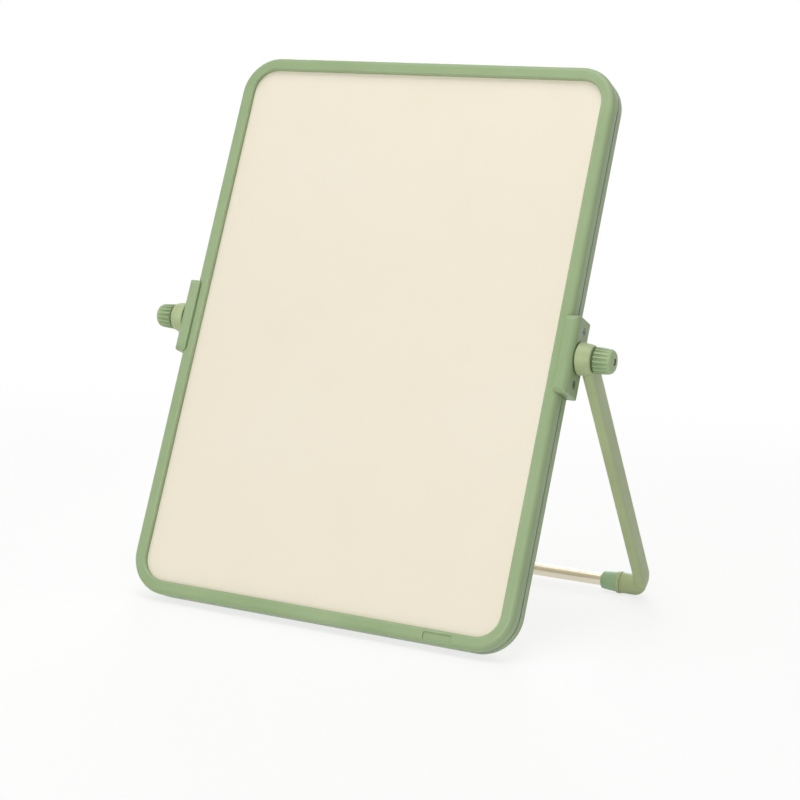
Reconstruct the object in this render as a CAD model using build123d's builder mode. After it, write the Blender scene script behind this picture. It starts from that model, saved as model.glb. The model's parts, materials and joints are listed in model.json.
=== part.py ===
from build123d import *
from math import acos, cos, radians, sin
import os

# A desktop whiteboard that turns in a U-shaped stand. Millimetres, +Z up.
# The writing side faces -Y, and the origin is on the table under the middle of the object.

# Board and frame
board_width = 253.0
board_height = 350.0
board_thickness = 18.3
board_lean = 20.3            # degrees back from upright
corner_radius = 24.0
edge_radius = 3.2            # rounding of the frame's outer edges
frame_face = 8.2             # width of the frame seen from the front
opening_radius = 14.5        # corner of the opening in the frame
frame_lip = 3.05             # how far the writing surface lies below the frame
lip_chamfer = 0.8
frame_wall = 3.0             # side wall round the panel
seam_width = 1.5             # open groove where the two halves of the frame meet
seam_depth = 1.1
tongue_inset = 1.5           # tongue of the front half, measured in from the outside
tongue_thickness = 0.8
tongue_height = 1.5
tongue_clearance = 0.1
sheet_thickness = 0.5
panel_clearance = 0.2

# Bare label recess in the lower rail
label_length = 18.0
label_height = 4.6
label_depth = 0.6
label_corner = 1.2
label_offset = 83.0          # its middle, to the right of the board's middle

# Brackets that clasp the sides of the frame
bracket_length = 46.5
bracket_wall = 5.2
bracket_lip = 2.0            # thickness of the two lips
bracket_wrap = 3.2           # how far the lips reach over the frame's faces
bracket_corner = 4.0
bracket_fit = 0.1
bracket_tip_corner = 3.0
bracket_end_corner = 4.0
lip_tip_rounding = 0.9
bracket_end_chamfer = 0.8

# Bracket screws
screw_offset = 15.6
screw_radius = 1.4
screw_head_radius = 2.3
screw_head_height = 1.3
screw_length = 8.0
screw_recess_depth = 1.5
screw_recess_clearance = 0.3
screw_hole_clearance = 0.05
cross_length = 2.6
cross_width = 0.6
cross_depth = 0.6

# Pivot bolts, one in each bracket
bolt_radius = 2.5
bolt_head_flats = 8.0
bolt_head_height = 2.8
bolt_floor = 1.4             # bracket wall that the bolt head bears on
bolt_pocket_clearance = 0.1
bolt_turning_clearance = 0.08
bolt_free_clearance = 0.3
bolt_end_gap = 0.6

# Washers
friction_washer_radius = 7.8
friction_washer_thickness = 0.8
friction_washer_stand_out = 0.3
knob_washer_radius = 7.0
knob_washer_thickness = 1.2
washer_clearance = 0.1

# Stand legs
leg_length = 207.9           # from the pivot to the crossbar
leg_thickness = 7.2
leg_depth = 13.4
leg_edge_rounding = 2.6
leg_inset = 0.3              # the bar lies this far below the head's outer face
head_thickness = 9.2
head_radius_inner = 9.7
head_radius_middle = 9.2
head_radius_outer = 8.3
head_shoulder = 3.0          # the outer end, which tapers more
head_chamfer = 0.6
crease_radius = 3.0          # inside corner of the bend
bend_steps = 9
stub_radius = 6.6
stub_length = 8.6
stub_flat = 0.2              # half of the small flats where the round stub leaves the bend
bead_radius = 7.1
bead_length = 3.0
bead_chamfer = 0.7

# Crossbar and its collars
tube_radius = 4.0
tube_wall = 0.6
tube_fit = 0.1
tube_depth = 14.1            # how far the tube goes into each leg
tube_end_gap = 0.5
collar_radius = 6.4          # at the leg, from where it tapers towards the tube
collar_end_radius = 5.6
collar_length = 10.4
collar_chamfer = 1.0
spigot_radius = 5.4
spigot_length = 4.0
spigot_fit = 0.1
spigot_end_gap = 0.3

# Knobs
knob_length = 10.9
knob_radius_inner = 7.85
knob_radius_outer = 7.35
knob_dome_length = 3.2
knob_dome_drop = 2.6
dome_steps = 4
dimple_radius = 2.2
dimple_depth = 0.6
knob_base_chamfer = 0.4
flute_count = 18
flute_radius = 1.0
flute_depth = 1.0
insert_radius = 3.75
insert_length = 7.2
insert_inset = 0.4           # below the inner face of the knob
insert_end_gap = 0.2

# Widths along the pivot axis, measured out from the middle of the object
half_width = board_width / 2
half_thickness = board_thickness / 2
channel_reach = half_width + bracket_fit
bracket_reach = half_width + bracket_wall
bracket_tip = half_width - bracket_wrap
head_inner = bracket_reach + friction_washer_stand_out
head_outer = head_inner + head_thickness
knob_inner = head_outer + knob_washer_thickness
knob_outer = knob_inner + knob_length
leg_outer = head_outer - leg_inset
leg_inner = leg_outer - leg_thickness
leg_middle = leg_outer - leg_thickness / 2
bend_reach = leg_inner - crease_radius
stub_mouth = bend_reach - stub_length - bead_length
insert_inner = knob_inner + insert_inset
insert_outer = insert_inner + insert_length
bolt_head_outer = bracket_reach - bolt_floor
bolt_end = insert_outer - bolt_end_gap

# Height of the pivot with the board's lower rear edge and the two feet on the table
lean = radians(board_lean)
edge_up = board_height / 2 - edge_radius
edge_out = half_thickness - edge_radius
pivot_height = edge_up * cos(lean) + edge_out * sin(lean) + edge_radius
leg_angle = acos((pivot_height - bead_radius) / leg_length)
board_front_reach = edge_up * sin(lean) + edge_out * cos(lean) + edge_radius
stand_rear_reach = leg_length * sin(leg_angle) + bead_radius
pivot_depth = (board_front_reach - stand_rear_reach) / 2

across = Vector(1, 0, 0)
pivot = Vector(0, pivot_depth, pivot_height)
board_up = Vector(0, sin(lean), cos(lean))
board_normal = Vector(0, -cos(lean), sin(lean))
leg_down = Vector(0, sin(leg_angle), -cos(leg_angle))
leg_rear = Vector(0, cos(leg_angle), sin(leg_angle))
crossbar = pivot + leg_down * leg_length

board = Plane(origin=pivot, x_dir=across, z_dir=board_normal)
front_axis = Axis(pivot, board_normal)
pivot_axis = Axis(pivot, across)
crossbar_axis = Axis(crossbar, across)
sides = {"left": -1, "right": 1}


def side_plane(side, reach):
    """Plane square to the pivot axis, facing out, with X up the board."""
    return Plane(origin=pivot + across * (side * reach), x_dir=board_up, z_dir=across * side)


def turning_plane(side, centre):
    """Plane through an axis of revolution: X runs outward, Y is the radius."""
    return Plane(origin=centre, x_dir=across * side, z_dir=board_normal)


def save(piece, name):
    """Label a finished piece and write it."""
    piece.part.label = name
    export_step(piece.part, f"parts/{name}.step")


os.makedirs("parts", exist_ok=True)

# Frame: two moulded halves that close round the panel with a tongue and a groove
opening_width = board_width - 2 * frame_face
opening_height = board_height - 2 * frame_face
pocket_depth = half_thickness - frame_lip
seam_inset = seam_depth
groove_inset = tongue_inset - tongue_clearance
groove_thickness = tongue_thickness + 2 * tongue_clearance


def ring(inset, thickness):
    """Sketch a band that follows the frame's outline, in from its outer edge."""
    RectangleRounded(
        board_width - 2 * inset, board_height - 2 * inset, corner_radius - inset
    )
    inner = inset + thickness
    RectangleRounded(
        board_width - 2 * inner,
        board_height - 2 * inner,
        corner_radius - inner,
        mode=Mode.SUBTRACT,
    )


def frame_half(facing):
    """Shape one half of the frame: facing is 1 for the front half and -1 for the rear."""
    with BuildPart() as half:
        with BuildSketch(board):
            RectangleRounded(board_width, board_height, corner_radius)
        extrude(amount=facing * half_thickness)
        face = half.faces().sort_by(front_axis)[-1 if facing > 0 else 0]
        fillet(face.edges(), edge_radius)
        with BuildSketch(board):
            RectangleRounded(opening_width, opening_height, opening_radius)
        extrude(amount=facing * half_thickness, mode=Mode.SUBTRACT)
        face = half.faces().sort_by(front_axis)[-1 if facing > 0 else 0]
        chamfer(face.inner_wires()[0].edges(), lip_chamfer)
        with BuildSketch(board):
            RectangleRounded(
                board_width - 2 * frame_wall,
                board_height - 2 * frame_wall,
                corner_radius - frame_wall,
            )
        extrude(amount=facing * pocket_depth, mode=Mode.SUBTRACT)
        with BuildSketch(board):
            ring(0, seam_inset)
        extrude(amount=facing * seam_width / 2, mode=Mode.SUBTRACT)
        if facing > 0:
            with BuildSketch(board):
                ring(tongue_inset, tongue_thickness)
            extrude(amount=-tongue_height)
            with BuildSketch(board.offset(half_thickness)):
                with Locations((label_offset, (frame_face - board_height) / 2)):
                    RectangleRounded(label_length, label_height, label_corner)
            extrude(amount=-label_depth, mode=Mode.SUBTRACT)
        else:
            with BuildSketch(board):
                ring(groove_inset, groove_thickness)
            extrude(amount=-tongue_height - tongue_clearance, mode=Mode.SUBTRACT)
        for side in sides.values():
            with BuildSketch(side_plane(side, half_width)):
                with Locations((screw_offset, 0), (-screw_offset, 0)):
                    Circle(screw_radius + screw_hole_clearance)
            extrude(amount=-frame_wall, mode=Mode.SUBTRACT)
    return half


frame_front = frame_half(1)
save(frame_front, "frame_front")

frame_rear = frame_half(-1)
save(frame_rear, "frame_rear")

# Panel: a core between two coated steel sheets
panel_inset = frame_wall + panel_clearance
panel_width = board_width - 2 * panel_inset
panel_height = board_height - 2 * panel_inset
panel_radius = corner_radius - panel_inset
core_thickness = 2 * (pocket_depth - sheet_thickness)
screw_tip = bracket_reach - screw_recess_depth - screw_length

with BuildPart() as writing_sheet_front:
    with BuildSketch(board.offset(pocket_depth)):
        RectangleRounded(panel_width, panel_height, panel_radius)
    extrude(amount=-sheet_thickness)
save(writing_sheet_front, "writing_sheet_front")

with BuildPart() as writing_sheet_rear:
    with BuildSketch(board.offset(-pocket_depth)):
        RectangleRounded(panel_width, panel_height, panel_radius)
    extrude(amount=sheet_thickness)
save(writing_sheet_rear, "writing_sheet_rear")

with BuildPart() as core_panel:
    with BuildSketch(board):
        RectangleRounded(panel_width, panel_height, panel_radius)
    extrude(amount=core_thickness / 2, both=True)
    for side in sides.values():
        with BuildSketch(side_plane(side, half_width)):
            with Locations((screw_offset, 0), (-screw_offset, 0)):
                Circle(screw_radius + screw_hole_clearance)
        extrude(amount=screw_tip - half_width - screw_hole_clearance, mode=Mode.SUBTRACT)
save(core_panel, "core_panel")

# Brackets, with the screws and the pivot bolt that each one holds
bracket_depth = board_thickness + 2 * (bracket_fit + bracket_lip)

for hand, side in sides.items():
    with BuildPart() as bracket:
        with BuildSketch(Plane(origin=pivot, x_dir=across * side, z_dir=board_up)) as section:
            with Locations(((bracket_tip + bracket_reach) / 2, 0)):
                Rectangle(bracket_reach - bracket_tip, bracket_depth)
            fillet(section.vertices().group_by(Axis.X)[-1], bracket_corner)
            fillet(section.vertices().group_by(Axis.X)[0], lip_tip_rounding)
        extrude(amount=bracket_length / 2, both=True)
        ends = bracket.faces().filter_by(lambda face: abs(face.normal_at().dot(board_up)) > 0.99)
        chamfer(ends.edges(), bracket_end_chamfer)
        with BuildSketch(turning_plane(side, pivot)) as front_view:
            with Locations(((bracket_tip + bracket_reach) / 2, 0)):
                Rectangle(bracket_reach - bracket_tip, bracket_length)
            fillet(front_view.vertices().group_by(Axis.X)[0], bracket_tip_corner)
        extrude(amount=bracket_depth, both=True, mode=Mode.INTERSECT)
        with BuildSketch(side_plane(side, bracket_tip)):
            RectangleRounded(bracket_length, bracket_depth, bracket_end_corner)
        extrude(amount=bracket_reach - bracket_tip, mode=Mode.INTERSECT)
        with BuildSketch(Plane(origin=pivot, x_dir=across * side, z_dir=board_up)):
            RectangleRounded(
                board_width + 2 * bracket_fit,
                board_thickness + 2 * bracket_fit,
                edge_radius + bracket_fit,
            )
        extrude(amount=bracket_length, both=True, mode=Mode.SUBTRACT)
        with BuildSketch(side_plane(side, bracket_reach)):
            with Locations((screw_offset, 0), (-screw_offset, 0)):
                Circle(screw_head_radius + screw_recess_clearance)
        extrude(amount=-screw_recess_depth, mode=Mode.SUBTRACT)
        with BuildSketch(side_plane(side, channel_reach)):
            with Locations((screw_offset, 0), (-screw_offset, 0)):
                Circle(screw_radius + screw_hole_clearance)
            Circle(bolt_radius + bolt_free_clearance)
        extrude(amount=bracket_wall, mode=Mode.SUBTRACT)
        with BuildSketch(side_plane(side, channel_reach)):
            pocket_radius = bolt_head_flats / 2 + bolt_pocket_clearance
            RegularPolygon(pocket_radius, 6, major_radius=False)
        extrude(amount=bolt_head_outer - channel_reach, mode=Mode.SUBTRACT)
    save(bracket, f"bracket_{hand}")

    screw_seat = bracket_reach - screw_recess_depth
    with BuildPart() as bracket_screws:
        for offset in (screw_offset, -screw_offset):
            with BuildSketch(side_plane(side, screw_seat)):
                with Locations((offset, 0)):
                    Circle(screw_head_radius)
            extrude(amount=screw_head_height)
            with BuildSketch(side_plane(side, screw_seat)):
                with Locations((offset, 0)):
                    Circle(screw_radius)
            extrude(amount=-screw_length)
            with BuildSketch(side_plane(side, screw_seat + screw_head_height)):
                with Locations((offset, 0)):
                    Rectangle(cross_length, cross_width)
                    Rectangle(cross_width, cross_length)
            extrude(amount=-cross_depth, mode=Mode.SUBTRACT)
    save(bracket_screws, f"bracket_screws_{hand}")

    with BuildPart() as pivot_bolt:
        with BuildSketch(side_plane(side, bolt_head_outer)):
            RegularPolygon(bolt_head_flats / 2, 6, major_radius=False)
        extrude(amount=-bolt_head_height)
        with BuildSketch(side_plane(side, bolt_head_outer)):
            Circle(bolt_radius)
        extrude(amount=bolt_end - bolt_head_outer)
    save(pivot_bolt, f"pivot_bolt_{hand}")

# Legs: a flat bar from a turned head to an elbow with a round stub
bore_radius = bolt_radius + bolt_turning_clearance
recess_floor = bracket_reach + friction_washer_thickness
spigot_end = stub_mouth + spigot_length + spigot_end_gap
socket_end = stub_mouth + tube_depth + tube_end_gap
# The bend: its sections fan out from the inside corner, and their outer ends lie on an ellipse
bend_drop = leg_length - stub_radius - crease_radius
bend_width = leg_thickness + crease_radius
bend_height = 2 * stub_radius + crease_radius

for hand, side in sides.items():
    outward = across * side

    def bend_section(turn):
        """Sketch the leg's section at a turn from 0, square to the bar, to 1, square to the stub."""
        angle = radians(90 * turn)
        along = outward * cos(angle) + leg_down * sin(angle)
        reach = 1 / ((cos(angle) / bend_width) ** 2 + (sin(angle) / bend_height) ** 2) ** 0.5
        corner = pivot + outward * bend_reach + leg_down * bend_drop
        middle = corner + along * (reach + crease_radius) / 2
        depth = leg_depth + (2 * stub_radius - leg_depth) * turn
        rounding = leg_edge_rounding + (stub_radius - stub_flat - leg_edge_rounding) * turn
        plane = Plane(origin=middle, x_dir=along, z_dir=along.cross(leg_rear * side))
        with BuildSketch(plane) as section:
            RectangleRounded(reach - crease_radius, depth, rounding)
        return section.sketch

    sections = [bend_section(step / bend_steps) for step in range(bend_steps + 1)]

    with BuildPart() as leg:
        extrude(sections[0], amount=bend_drop, dir=-leg_down)
        loft(sections, ruled=True)
        extrude(sections[-1], amount=stub_length, dir=-outward)
        with BuildSketch(turning_plane(side, crossbar)) as bead_profile:
            with BuildLine():
                Polyline(
                    (stub_mouth + bead_length, 0),
                    (stub_mouth + bead_length, bead_radius),
                    (stub_mouth, bead_radius),
                    (stub_mouth, 0),
                    close=True,
                )
            make_face()
            lip = bead_profile.vertices().group_by(Axis.X)[0].sort_by(Axis.Y)[-1]
            chamfer(lip, bead_chamfer)
        revolve(axis=crossbar_axis)
        with BuildSketch(turning_plane(side, pivot)) as head_profile:
            with BuildLine():
                Polyline(
                    (head_inner, 0),
                    (head_inner, head_radius_inner),
                    (head_outer - head_shoulder, head_radius_middle),
                    (head_outer, head_radius_outer),
                    (head_outer, 0),
                    close=True,
                )
            make_face()
            for end in (0, -1):
                rim = head_profile.vertices().group_by(Axis.X)[end].sort_by(Axis.Y)[-1]
                chamfer(rim, head_chamfer)
        revolve(axis=pivot_axis)
        with BuildSketch(side_plane(side, head_inner)):
            Circle(bore_radius)
        extrude(amount=head_thickness, mode=Mode.SUBTRACT)
        with BuildSketch(side_plane(side, head_inner)):
            Circle(friction_washer_radius + washer_clearance)
        extrude(amount=recess_floor - head_inner, mode=Mode.SUBTRACT)
        with BuildSketch(turning_plane(side, crossbar)):
            with BuildLine():
                Polyline(
                    (stub_mouth, 0),
                    (stub_mouth, spigot_radius + spigot_fit),
                    (spigot_end, spigot_radius + spigot_fit),
                    (spigot_end, tube_radius + tube_fit),
                    (socket_end, tube_radius + tube_fit),
                    (socket_end, 0),
                    close=True,
                )
            make_face()
        revolve(axis=crossbar_axis, mode=Mode.SUBTRACT)
    save(leg, f"leg_{hand}")

    with BuildPart() as friction_washer:
        with BuildSketch(side_plane(side, bracket_reach)):
            Circle(friction_washer_radius)
            Circle(bolt_radius + bolt_free_clearance, mode=Mode.SUBTRACT)
        extrude(amount=friction_washer_thickness)
    save(friction_washer, f"friction_washer_{hand}")

    with BuildPart() as collar:
        with BuildSketch(turning_plane(side, crossbar)) as collar_profile:
            with BuildLine():
                Polyline(
                    (stub_mouth - collar_length, tube_radius + tube_fit),
                    (stub_mouth - collar_length, collar_end_radius),
                    (stub_mouth, collar_radius),
                    (stub_mouth, spigot_radius),
                    (stub_mouth + spigot_length, spigot_radius),
                    (stub_mouth + spigot_length, tube_radius + tube_fit),
                    close=True,
                )
            make_face()
            mouth = collar_profile.vertices().group_by(Axis.X)[0].sort_by(Axis.Y)[-1]
            chamfer(mouth, collar_chamfer)
        revolve(axis=crossbar_axis)
    save(collar, f"collar_{hand}")

with BuildPart() as crossbar_tube:
    with BuildSketch(Plane(origin=crossbar, x_dir=leg_down, z_dir=across)):
        Circle(tube_radius)
        Circle(tube_radius - tube_wall, mode=Mode.SUBTRACT)
    extrude(amount=stub_mouth + tube_depth, both=True)
save(crossbar_tube, "crossbar_tube")

# Knobs: a fluted moulding on a threaded insert, with a washer against the leg
flute_centre = knob_radius_inner + flute_radius - flute_depth
dome_turns = [radians(90 * step / dome_steps) for step in range(dome_steps + 1)]
dome = [
    (
        knob_outer - knob_dome_length * (1 - sin(turn)),
        knob_radius_outer - knob_dome_drop * (1 - cos(turn)),
    )
    for turn in dome_turns
]

for hand, side in sides.items():
    with BuildPart() as knob:
        with BuildSketch(turning_plane(side, pivot)) as knob_profile:
            with BuildLine():
                Polyline(
                    (knob_inner, 0),
                    (knob_inner, knob_radius_inner),
                    *dome,
                    (knob_outer, 0),
                    close=True,
                )
            make_face()
            chamfer(knob_profile.vertices().group_by(Axis.Y)[-1], knob_base_chamfer)
        revolve(axis=pivot_axis)
        with BuildSketch(side_plane(side, knob_inner)):
            with PolarLocations(flute_centre, flute_count):
                Circle(flute_radius)
        extrude(amount=knob_length, mode=Mode.SUBTRACT)
        with BuildSketch(side_plane(side, knob_inner)):
            Circle(insert_radius)
        socket_depth = insert_inset + insert_length + insert_end_gap
        extrude(amount=socket_depth, mode=Mode.SUBTRACT)
        with BuildSketch(side_plane(side, knob_outer)):
            Circle(dimple_radius)
        extrude(amount=-dimple_depth, mode=Mode.SUBTRACT)
    save(knob, f"knob_{hand}")

    with BuildPart() as knob_insert:
        with BuildSketch(side_plane(side, insert_inner)):
            Circle(insert_radius)
            Circle(bore_radius, mode=Mode.SUBTRACT)
        extrude(amount=insert_length)
    save(knob_insert, f"knob_insert_{hand}")

    with BuildPart() as knob_washer:
        with BuildSketch(side_plane(side, head_outer)):
            Circle(knob_washer_radius)
            Circle(bolt_radius + bolt_free_clearance, mode=Mode.SUBTRACT)
        extrude(amount=knob_washer_thickness)
    save(knob_washer, f"knob_washer_{hand}")

print("pivot", pivot, "crossbar", crossbar, "stub mouth", stub_mouth)
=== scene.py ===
# %% [markdown]
# # A desk whiteboard, dressed in Blender
# The board, its stand and its knobs are already modelled at their real size. This file gives
# every surface its real material and sets up a pale table, soft light and a camera. All lengths
# in Blender are metres, so sizes are written in millimetres and multiplied by MM.

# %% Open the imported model
import json
from math import radians

import bpy
from mathutils import Matrix, Vector

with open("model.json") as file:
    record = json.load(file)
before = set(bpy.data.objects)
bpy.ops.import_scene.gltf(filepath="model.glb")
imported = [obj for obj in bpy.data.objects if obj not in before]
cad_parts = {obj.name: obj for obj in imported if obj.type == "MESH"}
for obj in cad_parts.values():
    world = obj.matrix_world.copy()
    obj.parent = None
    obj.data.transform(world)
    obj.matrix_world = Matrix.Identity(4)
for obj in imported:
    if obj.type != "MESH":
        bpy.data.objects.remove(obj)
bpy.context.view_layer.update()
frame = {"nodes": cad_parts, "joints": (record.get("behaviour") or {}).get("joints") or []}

nodes = frame["nodes"]
MM = 0.001
print("nodes:", len(nodes))

# %% [markdown]
# ## A landmark
# The joint on which the board turns gives the pivot line. It runs through the middle of the
# board, so the lamps are aimed at its height.

# %% Find the pivot of the board
pivot = Vector(next(j for j in frame["joints"] if j["name"] == "board_turn")["pos_m"])
print("pivot:", [round(v / MM, 1) for v in pivot], "mm")

# %% [markdown]
# ## Colours
# A paint chart or a web page gives colours in sRGB, but a shader works in linear light. One
# function turns a hex value to linear, so that the file can keep the readable one.

# %% Turn a hex colour to linear light
def linear(hex_colour):
    channels = [int(hex_colour[i : i + 2], 16) / 255 for i in (1, 3, 5)]
    return [c / 12.92 if c <= 0.04045 else ((c + 0.055) / 1.055) ** 2.4 for c in channels] + [1]


SAGE = "#98AC82"
# The light sage is a painted highlight for thin edges; the dark sage is a darker tone of the same
# plastic.
SAGE_HIGHLIGHT = "#C4D6B0"
SAGE_DARK = "#8FA579"
print("sage in linear light:", [round(c, 3) for c in linear(SAGE)[:3]])

# %% [markdown]
# ## Building a material
# A material is a small network of nodes. One function adds a node, sets its settings and its
# unlinked inputs, and joins its linked inputs, so each material below reads as a list of what
# feeds what. Where several inputs of a node share a name, an underscore and a number give the
# input by its place. Texture coordinates are the object's own, in metres, so a pattern's scale
# is simply one over its real size.

# %% Add a node, and start a material
def add(tree, kind, settings=None, **inputs):
    node = tree.nodes.new(kind)
    for name, value in (settings or {}).items():
        setattr(node, name, value)
    for name, value in inputs.items():
        socket = node.inputs[int(name[1:])] if name[0] == "_" else node.inputs[name.replace("_", " ")]
        if isinstance(value, bpy.types.NodeSocket):
            tree.links.new(value, socket)
        else:
            socket.default_value = value
    return node


def start_material(name):
    material = bpy.data.materials.new(name)
    material.use_nodes = True
    tree = material.node_tree
    tree.nodes.clear()
    place = add(tree, "ShaderNodeTexCoord").outputs["Object"]
    return material, tree, place


def end_material(tree, shader):
    add(tree, "ShaderNodeOutputMaterial", Surface=shader.outputs[0])


def pattern_scale(size_mm):
    return 1 / (size_mm * MM)


print("a 1 mm grain has the scale", pattern_scale(1))

# %% [markdown]
# ## Moulded ABS with a satin texture
# The frame, stand and knobs are injection-moulded ABS in a sage green. The mould is lightly
# spark-eroded, which leaves a fine satin grain: highlights are soft and broad, never mirror-like.
# The grain is finer than a pixel here, so it is drawn at 0.7 mm. Thin edges get a painted
# highlight: the Bevel node both softens the edges and finds them for a paler tint, which a
# coarse noise breaks into patches. Flutes, seams and the label recess get painted shade: the
# Ambient Occlusion node finds the places that are closed in within a millimetre or two and
# turns them deeper green.
#
# The Bevel node gives a rounded normal. Its dot product with the flat one falls from FLAT_TURN
# to EDGE_TURN as an edge comes near. The occlusion is nearly one, OPEN_AIR, on an open face.
#
# The colour also drifts a little over six centimetres, as it does where the plastic flowed in
# the mould. The IOR of ABS is 1.54, and the eroded skin scatters much of its gloss, so the
# specular level is under the usual half.

# %% Make the ABS finishes
GRAIN_MM = 0.7
GRAIN_DEPTH_MM = 0.02
FLOW_MM = 60
# Size of the noise patches that break up the painted edge highlight and vary the gloss.
PATCH_MM = 14
ABS_IOR = 1.54
ABS_SPECULAR = 0.35
# The deep sage is painted shade for flutes, seams and recesses.
PAINTED_SHADE_SAGE = "#4A6336"
FLAT_TURN = 0.995
EDGE_TURN = 0.86
OPEN_AIR = 0.95


def moulded_abs(
    name,
    colour,
    highlight_tint,
    shade,
    roughness,
    edge_mm,
    highlight_share,
    hollow_mm,
    shade_below,
    unshaded_share,
):
    """Edges go towards the lighter tint by the given share, as a painted highlight. A place less
    open than the given level goes to the deep green as painted shade, keeping the given share of its
    own colour."""
    material, tree, place = start_material(name)
    flow = add(
        tree,
        "ShaderNodeTexNoise",
        Vector=place,
        Scale=pattern_scale(FLOW_MM),
        Detail=3,
        Roughness=0.55,
    )
    flow_part = add(
        tree, "ShaderNodeMapRange", Value=flow.outputs["Fac"], From_Min=0.35, From_Max=0.65
    )
    body = add(
        tree,
        "ShaderNodeMix",
        {"data_type": "RGBA"},
        _0=flow_part.outputs[0],
        _6=linear(shade),
        _7=linear(colour),
    )
    rounded = add(tree, "ShaderNodeBevel", {"samples": 6}, Radius=edge_mm * MM)
    flat = add(tree, "ShaderNodeNewGeometry")
    turn = add(
        tree,
        "ShaderNodeVectorMath",
        {"operation": "DOT_PRODUCT"},
        _0=rounded.outputs[0],
        _1=flat.outputs["Normal"],
    )
    # Painted highlight: near edges the colour goes towards the lighter tint.
    edge_highlight = add(
        tree,
        "ShaderNodeMapRange",
        Value=turn.outputs["Value"],
        From_Min=FLAT_TURN,
        From_Max=EDGE_TURN,
        To_Max=highlight_share,
    )
    patches = add(
        tree, "ShaderNodeTexNoise", Vector=place, Scale=pattern_scale(PATCH_MM), Detail=4
    )
    highlight_part = add(
        tree,
        "ShaderNodeMath",
        {"operation": "MULTIPLY"},
        _0=edge_highlight.outputs[0],
        _1=patches.outputs["Fac"],
    )
    highlighted = add(
        tree,
        "ShaderNodeMix",
        {"data_type": "RGBA"},
        _0=highlight_part.outputs[0],
        _6=body.outputs[2],
        _7=linear(highlight_tint),
    )
    # Painted shade: closed-in places go towards the deep sage.
    hollow = add(
        tree, "ShaderNodeAmbientOcclusion", {"samples": 8}, Distance=hollow_mm * MM
    )
    open_part = add(
        tree,
        "ShaderNodeMapRange",
        Value=hollow.outputs["AO"],
        From_Min=shade_below,
        From_Max=OPEN_AIR,
        To_Min=unshaded_share,
    )
    shade_painted = add(
        tree,
        "ShaderNodeMix",
        {"data_type": "RGBA"},
        _0=open_part.outputs[0],
        _6=linear(PAINTED_SHADE_SAGE),
        _7=highlighted.outputs[2],
    )
    grain = add(
        tree, "ShaderNodeTexNoise", Vector=place, Scale=pattern_scale(GRAIN_MM), Detail=2
    )
    gloss = add(
        tree,
        "ShaderNodeMapRange",
        Value=patches.outputs["Fac"],
        From_Min=0.3,
        From_Max=0.7,
        To_Min=roughness - 0.04,
        To_Max=roughness + 0.05,
    )
    relief = add(
        tree,
        "ShaderNodeBump",
        Height=grain.outputs["Fac"],
        Strength=0.12,
        Distance=GRAIN_DEPTH_MM * MM,
        Normal=rounded.outputs[0],
    )
    shader = add(
        tree,
        "ShaderNodeBsdfPrincipled",
        Base_Color=shade_painted.outputs[2],
        Roughness=gloss.outputs[0],
        Normal=relief.outputs[0],
        IOR=ABS_IOR,
        Specular_IOR_Level=ABS_SPECULAR,
    )
    end_material(tree, shader)
    return material


# Each finish has a lighter tint for painted edge highlights and takes painted shade in its hollows.
frame_abs = moulded_abs(
    "moulded_abs_frame",
    colour=SAGE,
    highlight_tint=SAGE_HIGHLIGHT,
    shade=SAGE_DARK,
    roughness=0.36,
    edge_mm=0.8,
    highlight_share=1.3,
    hollow_mm=0.9,
    shade_below=0.5,
    unshaded_share=0.4,
)
stand_abs = moulded_abs(
    "moulded_abs_stand",
    colour="#AFBD8F",
    highlight_tint="#C8D8AE",
    shade="#A3B082",
    roughness=0.40,
    edge_mm=0.5,
    highlight_share=1.0,
    hollow_mm=2,
    shade_below=0.4,
    unshaded_share=0.4,
)
knob_abs = moulded_abs(
    "moulded_abs_knob",
    colour="#A3B88A",
    highlight_tint="#D0E0B6",
    shade="#98AE80",
    roughness=0.36,
    edge_mm=0.3,
    highlight_share=1.8,
    hollow_mm=2,
    shade_below=0.55,
    unshaded_share=0.0,
)
collar_abs = moulded_abs(
    "moulded_abs_collar",
    colour="#A3C49C",
    highlight_tint="#BDD6B0",
    shade="#93B088",
    roughness=0.46,
    edge_mm=0.4,
    highlight_share=1.0,
    hollow_mm=2,
    shade_below=0.4,
    unshaded_share=0.4,
)
print("ABS finishes:", [m.name for m in (frame_abs, stand_abs, knob_abs, collar_abs)])

# %% [markdown]
# ## Dry-wipe enamel on steel
# The writing surface is a thin steel sheet with a baked cream coating. It is very smooth but not
# optically flat: the coating dries with a faint orange peel, about 4 mm from bump to bump, and
# the cream varies slightly where it has been wiped. A low roughness under a faint clear coat
# gives the broad soft sheen of such a board.

# %% Make the coated writing surface
PEEL_MM = 4
PEEL_DEPTH_MM = 0.03
WIPE_MM = 90


def drywipe_enamel(name, cream, warm):
    material, tree, place = start_material(name)
    wiped = add(
        tree,
        "ShaderNodeTexNoise",
        Vector=place,
        Scale=pattern_scale(WIPE_MM),
        Detail=4,
        Roughness=0.6,
        Distortion=0.4,
    )
    share = add(
        tree, "ShaderNodeMapRange", Value=wiped.outputs["Fac"], From_Min=0.3, From_Max=0.7
    )
    colour = add(
        tree,
        "ShaderNodeMix",
        {"data_type": "RGBA"},
        _0=share.outputs[0],
        _6=linear(cream),
        _7=linear(warm),
    )
    gloss = add(
        tree, "ShaderNodeMapRange", Value=wiped.outputs["Fac"], To_Min=0.36, To_Max=0.50
    )
    peel = add(
        tree, "ShaderNodeTexNoise", Vector=place, Scale=pattern_scale(PEEL_MM), Detail=1
    )
    relief = add(
        tree,
        "ShaderNodeBump",
        Height=peel.outputs["Fac"],
        Strength=0.10,
        Distance=PEEL_DEPTH_MM * MM,
    )
    shader = add(
        tree,
        "ShaderNodeBsdfPrincipled",
        Base_Color=colour.outputs[2],
        Roughness=gloss.outputs[0],
        Normal=relief.outputs[0],
        Coat_Weight=0.15,
        Coat_Roughness=0.3,
    )
    end_material(tree, shader)
    return material


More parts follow.
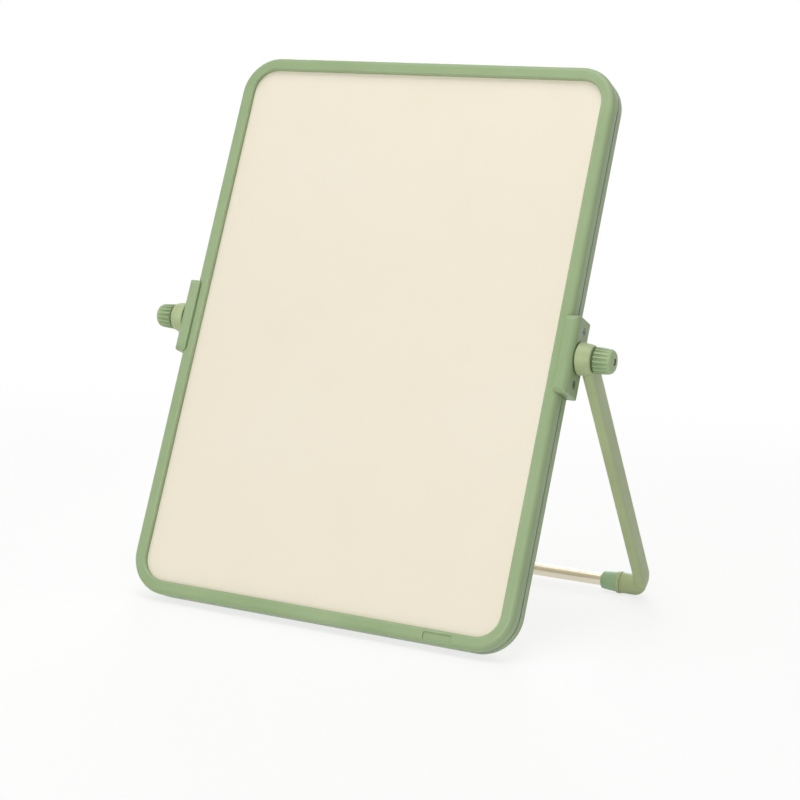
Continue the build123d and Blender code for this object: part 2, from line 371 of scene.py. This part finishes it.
enamel = drywipe_enamel("drywipe_enamel_on_steel", cream="#E9E1CF", warm="#E7DECA")
print("writing surface:", enamel.name)

# %% [markdown]
# ## Metals
# The crossbar is drawn stainless tube. Drawing and a light brushing leave fine scratches along
# its length, so the noise is stretched along X and the highlight breaks up into thin lines. The
# screws and bolts are zinc plated, which is duller, darker and slightly mottled. The inserts
# inside the knobs are turned brass, with rings round their axis, which also lies along X.

# %% Make the metals
SCRATCH_DEPTH_MM = 0.01


def brushed_metal(name, base, dark, along_mm, across_mm, roughness):
    material, tree, place = start_material(name)
    stretch = [pattern_scale(along_mm), pattern_scale(across_mm), pattern_scale(across_mm)]
    drawn = add(tree, "ShaderNodeMapping", Vector=place, Scale=stretch)
    lines = add(tree, "ShaderNodeTexNoise", Vector=drawn.outputs[0], Scale=1, Detail=3)
    share = add(
        tree, "ShaderNodeMapRange", Value=lines.outputs["Fac"], From_Min=0.3, From_Max=0.7
    )
    colour = add(
        tree,
        "ShaderNodeMix",
        {"data_type": "RGBA"},
        _0=share.outputs[0],
        _6=linear(dark),
        _7=linear(base),
    )
    gloss = add(
        tree,
        "ShaderNodeMapRange",
        Value=lines.outputs["Fac"],
        To_Min=roughness - 0.06,
        To_Max=roughness + 0.10,
    )
    relief = add(
        tree,
        "ShaderNodeBump",
        Height=lines.outputs["Fac"],
        Strength=0.15,
        Distance=SCRATCH_DEPTH_MM * MM,
    )
    shader = add(
        tree,
        "ShaderNodeBsdfPrincipled",
        Base_Color=colour.outputs[2],
        Metallic=1.0,
        Roughness=gloss.outputs[0],
        Normal=relief.outputs[0],
    )
    end_material(tree, shader)
    return material


drawn_tube = brushed_metal(
    "drawn_stainless_tube",
    base="#E9E3D0",
    dark="#D8D1BB",
    along_mm=30,
    across_mm=0.35,
    roughness=0.30,
)
zinc = brushed_metal(
    "zinc_plated_steel",
    base="#9C9C94",
    dark="#6C6C64",
    along_mm=0.8,
    across_mm=0.8,
    roughness=0.34,
)
brass = brushed_metal(
    "turned_brass",
    base="#D8B968",
    dark="#BE9C4C",
    along_mm=0.15,
    across_mm=4,
    roughness=0.28,
)
print("metals:", drawn_tube.name, zinc.name, brass.name)

# %% [markdown]
# ## Rubber and fibreboard
# The washers are moulded rubber: matt, with a fine pitted skin. Their dark green is painted
# shade, for the shadow in the narrow gaps where they sit. The core between the two sheets is
# fibreboard. It never shows in use, but the frame can be taken apart, so its pressed fibres are
# drawn too.

# %% Make the washers' rubber and the core's board
def pitted(name, colour, dark, size_mm, roughness, depth_mm):
    material, tree, place = start_material(name)
    pits = add(
        tree,
        "ShaderNodeTexNoise",
        Vector=place,
        Scale=pattern_scale(size_mm),
        Detail=6,
        Roughness=0.7,
    )
    mixed = add(
        tree,
        "ShaderNodeMix",
        {"data_type": "RGBA"},
        _0=pits.outputs["Fac"],
        _6=linear(dark),
        _7=linear(colour),
    )
    relief = add(
        tree,
        "ShaderNodeBump",
        Height=pits.outputs["Fac"],
        Strength=0.3,
        Distance=depth_mm * MM,
    )
    shader = add(
        tree,
        "ShaderNodeBsdfPrincipled",
        Base_Color=mixed.outputs[2],
        Roughness=roughness,
        Normal=relief.outputs[0],
    )
    end_material(tree, shader)
    return material


# The washers' dark green is painted shade for the narrow gaps they sit in.
gap_shade_rubber = pitted(
    "moulded_rubber", colour="#55703F", dark="#3F5730", size_mm=0.8, roughness=0.75, depth_mm=0.03
)
fibreboard = pitted(
    "pressed_fibreboard",
    colour="#B09674",
    dark="#8E7454",
    size_mm=1.5,
    roughness=0.85,
    depth_mm=0.05,
)
print("soft and hidden:", gap_shade_rubber.name, fibreboard.name)

# %% [markdown]
# ## Dressing the nodes
# Each CAD node keeps its shape and takes one of these materials. The names of the nodes start
# with the name of the piece, so a short list of prefixes covers both sides of the object. The
# longer prefixes stand first, because the first one that fits is taken.

# %% Give each node its material
FINISHES = {
    "frame_": frame_abs,
    "bracket_screws": zinc,
    "bracket_": frame_abs,
    "writing_sheet": enamel,
    "core_panel": fibreboard,
    "pivot_bolt": zinc,
    "friction_washer": gap_shade_rubber,
    "knob_washer": gap_shade_rubber,
    "knob_insert": brass,
    "knob_": knob_abs,
    "leg_": stand_abs,
    "collar_": collar_abs,
    "crossbar_tube": drawn_tube,
}


def finish_of(name):
    return next(m for prefix, m in FINISHES.items() if name.startswith(prefix))


for name, node in sorted(nodes.items()):
    node.data.materials.clear()
    node.data.materials.append(finish_of(name))
print("dressed:", len(nodes), "nodes")

# %% [markdown]
# ## Table and background
# The object stands on a plain white table. Where the camera, a reflection or a clear material
# looks past the table it sees pure white, so the picture has no horizon, but that white adds no
# light to the object. Seen directly, the table is already mostly that white under the object,
# which keeps a faint shadow, and it fades fully into it with distance.
#
# What does light the object is a dimmer level of the surroundings. It falls off towards the
# right, as beside a dark screen, because the photograph shows the right sides of the frame and
# brackets darker than their fronts.

# %% Make the table and the white surroundings
TABLE_MM = 6000
FADE_START_MM = 300
FADE_END_MM = 1100
NEAR_WHITE = 0.75
SPECKLE_MM = 2


def white_rays(tree):
    path = add(tree, "ShaderNodeLightPath")
    first = add(
        tree,
        "ShaderNodeMath",
        {"operation": "MAXIMUM"},
        _0=path.outputs["Is Camera Ray"],
        _1=path.outputs["Is Glossy Ray"],
    )
    return add(
        tree,
        "ShaderNodeMath",
        {"operation": "MAXIMUM"},
        _0=first.outputs[0],
        _1=path.outputs["Is Transmission Ray"],
    )


def table_top():
    mesh = bpy.data.meshes.new("table_top")
    reach = TABLE_MM * MM / 2
    corners = [(x * reach, y * reach, 0) for x, y in ((-1, -1), (1, -1), (1, 1), (-1, 1))]
    mesh.from_pydata(corners, [], [(0, 1, 2, 3)])
    table = bpy.data.objects.new("table_top", mesh)
    bpy.context.scene.collection.objects.link(table)
    material, tree, place = start_material("white_lacquer_table")
    distance = add(
        tree, "ShaderNodeVectorMath", {"operation": "LENGTH"}, _0=place
    )
    fade = add(
        tree,
        "ShaderNodeMapRange",
        {"interpolation_type": "SMOOTHSTEP"},
        Value=distance.outputs["Value"],
        From_Min=FADE_START_MM * MM,
        From_Max=FADE_END_MM * MM,
        To_Min=NEAR_WHITE,
    )
    share = add(
        tree,
        "ShaderNodeMath",
        {"operation": "MULTIPLY"},
        _0=fade.outputs[0],
        _1=white_rays(tree).outputs[0],
    )
    speckle = add(tree, "ShaderNodeTexNoise", Vector=place, Scale=pattern_scale(SPECKLE_MM))
    gloss = add(
        tree, "ShaderNodeMapRange", Value=speckle.outputs["Fac"], To_Min=0.55, To_Max=0.65
    )
    lacquer = add(
        tree,
        "ShaderNodeBsdfPrincipled",
        Base_Color=linear("#FBFBFA"),
        Roughness=gloss.outputs[0],
        Specular_IOR_Level=0.2,
    )
    glow = add(tree, "ShaderNodeEmission", Color=(1, 1, 1, 1), Strength=1.0)
    mixed = add(
        tree,
        "ShaderNodeMixShader",
        _0=share.outputs[0],
        _1=lacquer.outputs[0],
        _2=glow.outputs[0],
    )
    end_material(tree, mixed)
    mesh.materials.append(material)
    return table


WORLD_LEVEL = 0.47
SCREENED_LEVEL = 0.22
SCREEN_STARTS = 0.1
SCREEN_FULL = 0.9


def white_studio():
    world = bpy.data.worlds.new("white_studio")
    bpy.context.scene.world = world
    world.use_nodes = True
    tree = world.node_tree
    tree.nodes.clear()
    place = add(tree, "ShaderNodeTexCoord").outputs["Generated"]
    direction = add(tree, "ShaderNodeSeparateXYZ", Vector=place)
    screened = add(
        tree,
        "ShaderNodeMapRange",
        Value=direction.outputs["X"],
        From_Min=SCREEN_STARTS,
        From_Max=SCREEN_FULL,
        To_Min=WORLD_LEVEL,
        To_Max=SCREENED_LEVEL,
    )
    level = add(
        tree,
        "ShaderNodeMapRange",
        Value=white_rays(tree).outputs[0],
        To_Min=screened.outputs[0],
        To_Max=1.0,
    )
    surround = add(tree, "ShaderNodeBackground", Color=(1, 1, 1, 1), Strength=level.outputs[0])
    add(tree, "ShaderNodeOutputWorld", Surface=surround.outputs[0])


white_studio()
table = table_top()
print(table.name, "is", TABLE_MM, "mm square")
print("surroundings from", SCREENED_LEVEL, "to", WORLD_LEVEL)

# %% [markdown]
# ## Light
# The photograph has soft light from above and from near the camera: the tops of the bosses are
# bright, the legs are evenly lit and the undersides of the elbows are dark. One large softbox
# overhead and one in front give that, the white surroundings fill the rest, and a third softbox
# behind lights the rear writing side, which shows when the object is seen from the back.

# %% Place the softboxes
def softbox(name, place_mm, aim, size_mm, watts):
    light = bpy.data.lights.new(name, "AREA")
    light.shape = "DISK"
    light.size = size_mm * MM
    light.energy = watts
    lamp = bpy.data.objects.new(name, light)
    bpy.context.scene.collection.objects.link(lamp)
    lamp.location = Vector(place_mm) * MM
    lamp.rotation_euler = (aim - lamp.location).to_track_quat("-Z", "Y").to_euler()
    return lamp


aim = Vector((0, 0, pivot.z))
lamps = [
    softbox("overhead_softbox", place_mm=(0, -300, 1500), aim=aim, size_mm=1000, watts=9),
    softbox("front_softbox", place_mm=(100, -1650, 450), aim=aim, size_mm=900, watts=8),
    softbox("rear_fill", place_mm=(-700, 1500, 900), aim=aim, size_mm=900, watts=7),
]
print([lamp.name for lamp in lamps], "aimed at", [round(v / MM) for v in aim], "mm")

# %% [markdown]
# ## Camera
# The camera stands to the right of the board and a little above its middle, about a metre
# away, and looks down by eight degrees. The lens is an 81 mm short telephoto, as used for
# product pictures, and the picture is rolled by three degrees, which is why the upright edges
# of the board and the stand lean.

# %% Set up the camera
CAMERA_PLACE_MM = (488.2, -999.8, 281.8)
CAMERA_YAW = 25.94
CAMERA_DOWN = 8.05
CAMERA_ROLL = 2.97
LENS_MM = 80.96
SENSOR_MM = 36
NEAR_LIMIT_MM = 50
FAR_LIMIT_MM = 20000

camera_data = bpy.data.cameras.new("camera")
camera_data.lens = LENS_MM
camera_data.sensor_width = SENSOR_MM
camera_data.clip_start = NEAR_LIMIT_MM * MM
camera_data.clip_end = FAR_LIMIT_MM * MM
camera = bpy.data.objects.new("camera", camera_data)
bpy.context.scene.collection.objects.link(camera)
turned = Matrix.Rotation(radians(CAMERA_YAW), 4, "Z")
tilted = Matrix.Rotation(radians(90 - CAMERA_DOWN), 4, "X")
rolled = Matrix.Rotation(radians(CAMERA_ROLL), 4, "Z")
camera.matrix_world = Matrix.Translation(Vector(CAMERA_PLACE_MM) * MM) @ turned @ tilted @ rolled
bpy.context.scene.camera = camera
bpy.context.scene.view_settings.view_transform = "Standard"
print("camera at", CAMERA_PLACE_MM, "mm with a", LENS_MM, "mm lens")
